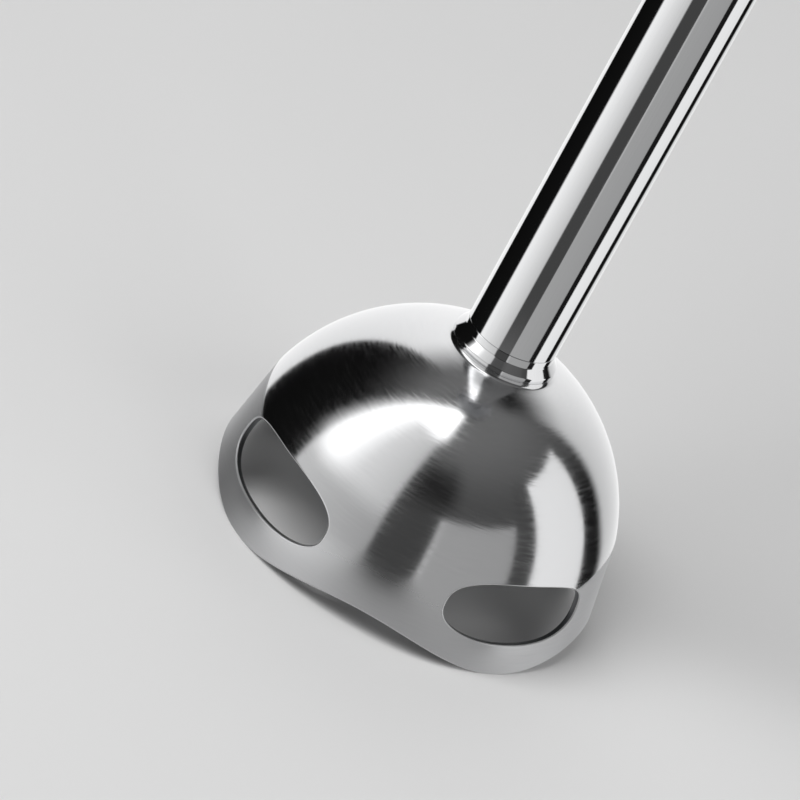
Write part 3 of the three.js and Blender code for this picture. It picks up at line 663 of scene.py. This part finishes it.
def combined(finish, x, y, z):
    """A vector from three sockets or numbers."""
    made = finish.node("ShaderNodeCombineXYZ")
    for socket, value in zip(made.inputs, (x, y, z)):
        if isinstance(value, (int, float)):
            socket.default_value = value
        else:
            finish.link(value, socket)
    return made.outputs[0]


def ring_lines(finish, across, along):
    """Fine noise drawn out into rings: by radius and height across them, by angle along them."""
    radius, angle, z = polar_place(finish)
    x, y, z = (finish.maths("MULTIPLY", value, repeats)
               for value, repeats in ((radius, across), (angle, along), (z, across)))
    return finish.noise(1.0, 2.0, combined(finish, x, y, z))


def mixed(finish, factor, a, b):
    """a + (b - a) * factor."""
    return finish.maths("ADD", a, finish.maths("MULTIPLY", finish.maths("SUBTRACT", b, a), factor))


def bell_steel():
    """Satin dome, brushed in rings, over a more matt skirt band.

    The band starts at the crease at the sides, and fades in slowly at the front and the back.
    Heights above the rim are in metres.
    """
    f = Finish("satin_bell_steel", (0.80, 0.80, 0.81), metal=1.0, roughness=0.16)
    _, angle, z = polar_place(f)
    rings = ring_lines(f, 2600.0, 7.0)
    cloud = f.noise(55.0, 3.0)
    rim = f.maths("ADD", f.maths("COSINE", f.maths("MULTIPLY", angle, 4.0)), 1.0)
    above_rim = f.maths("SUBTRACT", z, f.maths("MULTIPLY", rim, RIM_WAVE / 2000))
    twice = f.maths("COSINE", f.maths("MULTIPLY", angle, 2.0))
    facing = f.span(twice, 0.0, 1.0, -0.5, 0.3, smooth=True)
    at_sides = f.span(above_rim, 0.0, 1.0, 0.0131, 0.0143, smooth=True)
    at_front = f.span(above_rim, 0.0, 1.0, 0.0, 0.0115, smooth=True)
    on_dome = mixed(f, facing, at_sides, at_front)
    satin = f.maths("ADD", f.span(cloud, 0.095, 0.125), f.span(rings, -0.02, 0.05))
    matt = f.span(cloud, 0.50, 0.60)
    f.rough(mixed(f, on_dome, matt, satin))
    f.tint(f.maths("MULTIPLY", rings, cloud), (0.76, 0.765, 0.775), (0.86, 0.86, 0.865))
    f.bump(rings, 0.16, 0.00003)
    f.bump(f.noise(300.0, 2.0), 0.05, 0.00006)
    return f.material


def unpolished_steel_painted_dark():
    """The bell's inside and the inner half of its cut edges: dull pressed steel with draw lines,
    painted dark as painted shade inside and as a painted dark reflection on the cut edges.
    """
    # Painted shade: the base colour and both ends of the tint are far darker than steel. They stand in
    # for the shade inside the bell and for the dark reflection on the cut edges.
    f = Finish("unpolished_inner_steel_painted_dark", (0.16, 0.165, 0.17), metal=1.0, roughness=0.5)
    lines = f.noise(260.0, 4.0, f.stretched((1.0, 1.0, 0.12)))
    f.rough(f.span(f.noise(70.0), 0.42, 0.6))
    f.tint(lines, (0.10, 0.102, 0.107), (0.24, 0.245, 0.25))
    f.bump(lines, 0.2, 0.00006)
    return f.material


def mirror_steel():
    """Mirror-polished tube with faint lengthwise draw lines and a trace of handling haze."""
    f = Finish("polished_tube_steel", (0.84, 0.845, 0.85), metal=1.0, roughness=0.05)
    _, angle, z = polar_place(f)
    across, along = f.maths("MULTIPLY", angle, 90.0), f.maths("MULTIPLY", z, 14.0)
    lines = f.noise(1.0, 2.0, combined(f, across, along, 0.0))
    f.rough(f.span(f.noise(70.0, 4.0), 0.035, 0.075))
    f.tint(lines, (0.80, 0.805, 0.815), (0.88, 0.885, 0.89))
    f.bump(lines, 0.035, 0.00003)
    return f.material


def turned_steel(name, colour, roughness):
    """Steel with the fine lines of turning or grinding, its colour darker in their hollows as painted
    shade.
    """
    f = Finish(name, colour, metal=1.0, roughness=roughness)
    lines = ring_lines(f, 2600.0, 4.0)
    f.rough(f.span(f.noise(90.0, 4.0), roughness * 0.8, roughness * 1.25))
    # Painted shade: the colour darkens where the lines sink, in the same pattern as their relief.
    f.tint(lines, shade(colour, 0.86), shade(colour, 1.1))
    f.bump(lines, 0.12, 0.00004)
    return f.material


def moulded(name, colour, roughness, grain=1500.0, depth=0.00006, strength=0.22, **constants):
    """Moulded plastic or rubber: fine spark-eroded grain, a slow mottle, and shinier worn spots."""
    f = Finish(name, colour, roughness=roughness, **constants)
    fine = f.noise(grain, 3.0)
    slow = f.noise(38.0, 4.0)
    f.tint(slow, shade(colour, 0.88), shade(colour, 1.14))
    f.rough(f.span(slow, roughness * 0.88, min(1.0, roughness * 1.12)))
    f.bump(fine, strength, depth)
    return f.material


def wound_copper():
    """Enamelled wire: rows of round strands as a fine band wave, with a shade that drifts."""
    f = Finish("enamelled_copper", (0.62, 0.27, 0.13), metal=0.9, roughness=0.35, Coat_Weight=0.4)
    wave = f.node("ShaderNodeTexWave", bands_direction="Z")
    wave.inputs["Scale"].default_value = 420.0
    wave.inputs["Distortion"].default_value = 1.2
    wave.inputs["Detail"].default_value = 1.0
    f.link(f.place, wave.inputs["Vector"])
    shading = f.maths("MULTIPLY", wave.outputs["Fac"], f.noise(120.0))
    f.tint(shading, (0.36, 0.13, 0.06), (0.80, 0.40, 0.20))
    f.rough(f.span(f.noise(200.0), 0.28, 0.42))
    f.bump(wave.outputs["Fac"], 0.5, 0.0002)
    return f.material


def stacked_sheets():
    """Electrical sheet: thin level plates with dark joints and a little oxide."""
    f = Finish("stacked_sheets", (0.34, 0.35, 0.37), metal=0.85, roughness=0.5)
    wave = f.node("ShaderNodeTexWave", bands_direction="Z")
    wave.inputs["Scale"].default_value = 300.0
    f.link(f.place, wave.inputs["Vector"])
    shading = f.maths("MULTIPLY", wave.outputs["Fac"], f.noise(260.0))
    f.tint(shading, (0.15, 0.15, 0.16), (0.44, 0.45, 0.47))
    f.rough(f.span(f.noise(150.0), 0.42, 0.62))
    f.bump(wave.outputs["Fac"], 0.4, 0.0001)
    return f.material


def lacquered_board():
    """Circuit board: green lacquer with straight raised tracks from a brick pattern."""
    f = Finish("lacquered_board", (0.03, 0.16, 0.08), roughness=0.3, Coat_Weight=0.5)
    brick = f.node("ShaderNodeTexBrick")
    brick.inputs["Scale"].default_value = 260.0
    brick.inputs["Color1"].default_value = (0.03, 0.16, 0.08, 1)
    brick.inputs["Color2"].default_value = (0.05, 0.22, 0.11, 1)
    brick.inputs["Mortar"].default_value = (0.45, 0.36, 0.12, 1)
    f.link(f.stretched((1, 1, 1), (math.pi / 2, 0, 0)), brick.inputs["Vector"])
    f.link(brick.outputs["Color"], f.shader.inputs["Base Color"])
    f.rough(f.span(f.noise(90.0), 0.24, 0.4))
    f.bump(brick.outputs["Fac"], 0.3, 0.00008)
    return f.material


FINISHES = {
    "satin_steel": turned_steel("satin_trim_steel", (0.72, 0.725, 0.73), 0.26),
    "polished_steel": mirror_steel(),
    "hard_steel": turned_steel("ground_steel", (0.55, 0.56, 0.58), 0.3),
    "bronze": turned_steel("sintered_bronze", (0.55, 0.36, 0.16), 0.42),
    "copper": wound_copper(),
    "laminations": stacked_sheets(),
    "carbon": moulded("pressed_carbon", (0.02, 0.02, 0.021), 0.62, grain=2600.0),
    "case_plastic": moulded("case_plastic_black", (0.018, 0.0185, 0.021), 0.42),
    "grey_plastic": moulded("satin_grey_plastic", (0.21, 0.215, 0.225), 0.38, grain=1900.0),
    "pale_nylon": moulded("natural_nylon", (0.72, 0.69, 0.58), 0.45, Subsurface_Weight=0.1),
    "rubber": moulded("soft_black_rubber", (0.014, 0.014, 0.015), 0.68, grain=1100.0, depth=0.0001),
    "circuit_green": lacquered_board(),
}


# ---- the pieces ---------------------------------------------------------------------------------

def place(piece, node, body, slot, material=None):
    """Gives a piece its finish, sets it on its body and lets it stand for a CAD node."""
    for _ in range(len(piece.data.materials)):
        piece.data.materials.pop(index=0)
    piece.data.materials.append(material or FINISHES[slot])
    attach(piece, body)
    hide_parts(node)


slots = {part["node"]: part["material_slot"] for part in frame["record"]["subparts"]}
for node, cad in frame["nodes"].items():
    for entry in cad.material_slots:
        entry.material = FINISHES[slots[node]]

bell = bell_piece()
place(bell, "bell_guard", "leg", "satin_steel", bell_steel())
# Finish 1 is the bell's inside and the inner halves of its lips: steel painted dark as painted shade.
bell.data.materials.append(unpolished_steel_painted_dark())
place(collar_piece(), "leg_collar", "leg", "polished_steel")
place(tube_piece(), "leg_tube", "leg", "polished_steel")
place(leg_head_piece(), "leg_head", "leg", "grey_plastic")
place(turned("bearing_boss", [
    [5.9, 24], [8, 24.6], [8, 36], [9.4, 36.4], [9.2, 38.3], [6.6, 38.9], [6.6, 44.2], [4.9, 44.2],
    [4.9, 30], [5.9, 29.8],
]), "bearing_housing", "leg", "hard_steel")
place(turned("spindle_rod", [[0, 11.4], [2.5, 11.4], [2.5, 196], [0, 196]], 0.3, 48), "drive_spindle",
      "blade_shaft", "hard_steel")
place(ring_piece("spacer_sleeve", "blade_spacer", 2.6), "blade_spacer", "blade_shaft", "hard_steel")
place(ring_piece("seal_cover", "seal_retainer", 3), "seal_retainer", "leg", "hard_steel")

place(turned("collar_band", [
    [20.5, 176.3], [23.2, 176.3], [24, 179], [24.6, 186.2], [20.5, 186.2],
], 0.4, 128), "collar_ring", "motor_unit", "satin_steel")
place(turned("socket_cup", [
    [17.5, 176.3], [20.2, 176.3], [20.2, 199.6], [9.6, 199.6], [9.6, 197.7], [17.5, 197.7],
], 0.3, 96), "socket_liner", "motor_unit", "grey_plastic")

quarter = math.pi / 2
bezel_opening = rounded_outline(9.7, 22.9, 4.3)
release_opening = rounded_outline(6.3, 6.8, 3.3)
inlet_opening = rounded_outline(6.2, 6.2, 6.19, 16)
front_shell = half_shell("front_shell", True)
rear_shell = half_shell("rear_shell", False)
for shell, outline, z, turn in (
    (front_shell, bezel_opening, BEZEL_Z, 0.0), (rear_shell, inlet_opening, INLET_Z, math.pi),
):
    cutters = [
        plug_through(release_opening, RELEASE_Z, y1=-18, turn=side * quarter) for side in (-1, 1)
    ]
    cut_away(shell, [*cutters, plug_through(outline, z, turn=turn)])
place(front_shell, "housing_front", "motor_unit", "case_plastic")
place(rear_shell, "housing_rear", "motor_unit", "case_plastic")
grip = cut_away(soft_grip_piece(), [plug_through(bezel_opening, BEZEL_Z)])
place(grip, "soft_grip", "motor_unit", "rubber")

bezel = pad("key_bezel", rounded_outline(9.4, 22.6, 4), BEZEL_Z, -1.2, 1.7)
key_opening = rounded_outline(7.3, 9.8, 3.3)
cut_away(bezel, [plug_through(key_opening, z) for _, z in KEY_HEIGHTS])
place(bezel, "button_frame", "motor_unit", "satin_steel")
key_outline = rounded_outline(7, 9.5, 3)
for name, z in KEY_HEIGHTS:
    key = pad(name + "_key", key_outline, z, -0.9, 2.6, crown=0.4, edge=0.9)
    place(key, name + "_button", name + "_button", "grey_plastic")
release_outline = rounded_outline(6, 6.5, 3)
for side, sign in (("left", -1), ("right", 1)):
    key = pad("release_key_" + side, release_outline, RELEASE_Z, -1.6, 1.3, turn=sign * quarter,
              crown=0.3, edge=0.9)
    place(key, "release_button_" + side, "release_button_" + side, "grey_plastic")

place(turned("end_cap", [
    [26.8, 362.4], [27, 364], [26, 367.5], [22.8, 370.8], [18.4, 372.2], [16.4, 372.2], [16.4, 370],
    [4, 370], [4, 368], [16.6, 367.8], [21.6, 367.2], [24, 365.2], [24.4, 362.4],
], 0.8, 128), "top_cap", "motor_unit", "satin_steel")
place(dial_piece(), "speed_dial", "dial", "grey_plastic")
place(gland_piece(), "cord_gland", "motor_unit", "rubber")


# ---- the studio ---------------------------------------------------------------------------------

NADIR = -90
REAR_FROM = -180
REAR_TO = 180
FULL_LEAN = -26         # the panels' sides lean fully from this rise down
ROOM_GREY = (0.075, 0.16)
ROOM_RISE = (30, 75)    # the room goes from its darker to its lighter grey between these
GROUND_GREY = 0.50
GROUND_RISE = (-42, -33)

# Panels round the object, each painted over the ones before it. From and to are degrees from the
# front, towards +X, each with the lean that it takes below the horizon. Bottom and top are degrees
# above the horizon. Then come the brightness at each side, and the softness of the sides and ends.
PANELS = (
    ("rear left panel", (-180, 0), (-136, -3), (-90, 52), (1.10, 0.90), (2.0, 14)),
    ("black card, left", (-136, -3), (-77, 2), (-90, 54), (0.004, 0.006), (2.0, 20)),
    ("key panel, left", (-77, 2), (-14, 0), (-90, 90), (1.05, 0.60), (3.0, 1)),
    ("dim middle of the key panel", (-77, 2), (-14, 0), (-14, 12), (0.66, 0.40), (3.0, 8)),
    ("hot middle of the key panel", (-76, 0), (-54, 0), (14, 78), (1.9, 1.5), (13.0, 10)),
    ("overhead softbox", (-64, 0), (-10, 0), (66, 88), (2.0, 2.0), (9.0, 5)),
    ("dark card overhead, rear", (136, 0), (180, 0), (48, 72), (0.015, 0.015), (12.0, 7)),
    ("slate gap, front", (-14, 0), (17, 0), (-90, 50), (0.06, 0.06), (1.6, 16)),
    ("deep middle of the gap", (-9, 0), (22, 0), (30, 50), (0.015, 0.02), (8.0, 9)),
    ("grey card, front right", (17, 0), (67, 4), (-90, 26), (0.39, 0.36), (1.0, 1.5)),
    ("bright edge of the grey card", (16.5, 0), (20, 0), (-30, 24), (0.50, 0.50), (0.8, 1.5)),
    ("dark gap, right", (67, 4), (81, 4), (-90, 44), (0.07, 0.06), (1.5, 8)),
    ("black foot of the gap", (67, 4), (81, 4), (-90, -18), (0.01, 0.01), (1.0, 5)),
    ("window panel, right", (81, 4), (118, 4), (-90, 44), (0.95, 0.88), (1.2, 1.5)),
    ("black card, right", (118, 4), (134, 8), (-90, 26), (0.006, 0.006), (1.0, 16)),
    ("rear right panel", (134, 8), (180, 0), (-90, 46), (0.60, 1.10), (4.0, 16)),
)


def studio():
    """World light: panels by compass angle on a grey room, over a plain grey ground."""
    world = bpy.data.worlds.new("studio")
    scene.world = world
    world.use_nodes = True
    room = Nodes(world.node_tree, "Generated")
    split = room.node("ShaderNodeSeparateXYZ")
    room.link(room.place, split.inputs[0])
    x, y, z = split.outputs
    compass = room.maths("ARCTAN2", x, room.maths("MULTIPLY", y, -1.0))
    compass = room.maths("MULTIPLY", compass, 180 / math.pi)
    rise = room.maths("MULTIPLY", room.maths("ARCSINE", z), 180 / math.pi)
    low = room.span(rise, 0.0, 1.0, 0, FULL_LEAN, smooth=True)
    value = room.span(rise, *ROOM_GREY, *ROOM_RISE, smooth=True)
    for _, (start, start_lean), (end, end_lean), (bottom, top), (first, last), (side, cap) in PANELS:
        light = room.span(compass, first, last, start, end)
        mask = faded(room, rise, top, cap, 1.0, 0.0)
        if bottom > NADIR:
            mask = room.maths("MULTIPLY", mask, faded(room, rise, bottom, cap, 0.0, 1.0))
        if start > REAR_FROM:
            edge = faded(room, leaned(room, compass, low, start_lean), start, side, 0.0, 1.0)
            mask = room.maths("MULTIPLY", mask, edge)
        if end < REAR_TO:
            edge = faded(room, leaned(room, compass, low, end_lean), end, side, 1.0, 0.0)
            mask = room.maths("MULTIPLY", mask, edge)
        value = mixed(room, mask, value, light)
    ground = room.span(rise, 1.0, 0.0, *GROUND_RISE, smooth=True)
    value = mixed(room, ground, value, GROUND_GREY)
    background = world.node_tree.nodes["Background"]
    room.link(value, background.inputs["Color"])


def faded(room, source, at, reach, before, after):
    """Goes from one value to another round a place on the source, over a reach to each side."""
    return room.span(source, before, after, at - reach, at + reach, smooth=True)


def leaned(room, compass, low, lean):
    """The compass angle, turned back by a lean that grows below the horizon."""
    return room.maths("SUBTRACT", compass, room.maths("MULTIPLY", low, float(lean)))


def floor_piece():
    """A round pale floor under the rim."""
    floor_r = 6000
    angle = np.linspace(0, TURN, 96, endpoint=False)[None]
    radius = np.linspace(0, 1, 12)[:, None] ** 2 * floor_r
    grid = turned_points(radius, radius * 0, angle)
    faces = grid_faces(*grid.shape[:2], wrap_columns=True)
    mesh = bpy.data.meshes.new("floor")
    mesh.from_pydata((grid.reshape(-1, 3) / 1000).tolist(), [], faces.tolist())
    floor = bpy.data.objects.new("floor", mesh)
    scene.collection.objects.link(floor)
    f = Finish("pale_floor", (0.72, 0.72, 0.72), roughness=0.8)
    f.tint(f.noise(6.0), (0.70, 0.70, 0.70), (0.74, 0.74, 0.74))
    f.rough(f.span(f.noise(20.0), 0.75, 0.85))
    mesh.materials.append(f.material)
    floor.location = (0, 0, -0.0002)
    floor.visible_glossy = False


def direction(compass, rise):
    """The unit vector away from the object, from degrees round from the front and degrees up."""
    a, e = math.radians(compass), math.radians(rise)
    return Vector((math.sin(a) * math.cos(e), -math.cos(a) * math.cos(e), math.sin(e)))


def lamp(name, compass, rise, distance, size, power):
    """A square soft lamp that points at the bell from a compass angle and a height."""
    away = direction(compass, rise)
    light = bpy.data.lights.new(name, "AREA")
    light.size = size
    light.energy = power
    made = bpy.data.objects.new(name, light)
    made.location = away * distance
    made.rotation_euler = away.to_track_quat("Z", "Y").to_euler()
    made.visible_glossy = False
    scene.collection.objects.link(made)


def camera():
    """The main view: from the front and 27.8 degrees up, with the leg leaning to the right."""
    distance, roll = 1.1, math.radians(29.14)
    target_z, aside, upward = 0.020, 0.0111, 0.0029
    back = direction(-0.8, 27.8)
    side = Vector((0, 0, 1)).cross(back).normalized()
    above = back.cross(side)
    data = bpy.data.cameras.new("camera")
    data.sensor_width = 36
    data.lens = 296.9
    data.clip_start, data.clip_end = 0.05, 50
    made = bpy.data.objects.new("camera", data)
    target = Vector((0, 0, target_z))
    eye = target + back * distance
    aim = target - side * aside + above * upward
    look = (eye - aim).normalized()
    right = above.cross(look).normalized()
    up = look.cross(right)
    turn = Matrix((right, up, look)).transposed().to_4x4()
    made.matrix_world = Matrix.Translation(eye) @ turn @ Matrix.Rotation(roll, 4, "Z")
    scene.collection.objects.link(made)
    scene.camera = made


studio()
floor_piece()
lamp("soft_key", -50, 55, 1.6, 0.9, 14)
lamp("soft_fill", 60, 40, 1.8, 1.0, 5)
camera()
scene.view_settings.view_transform = "Standard"
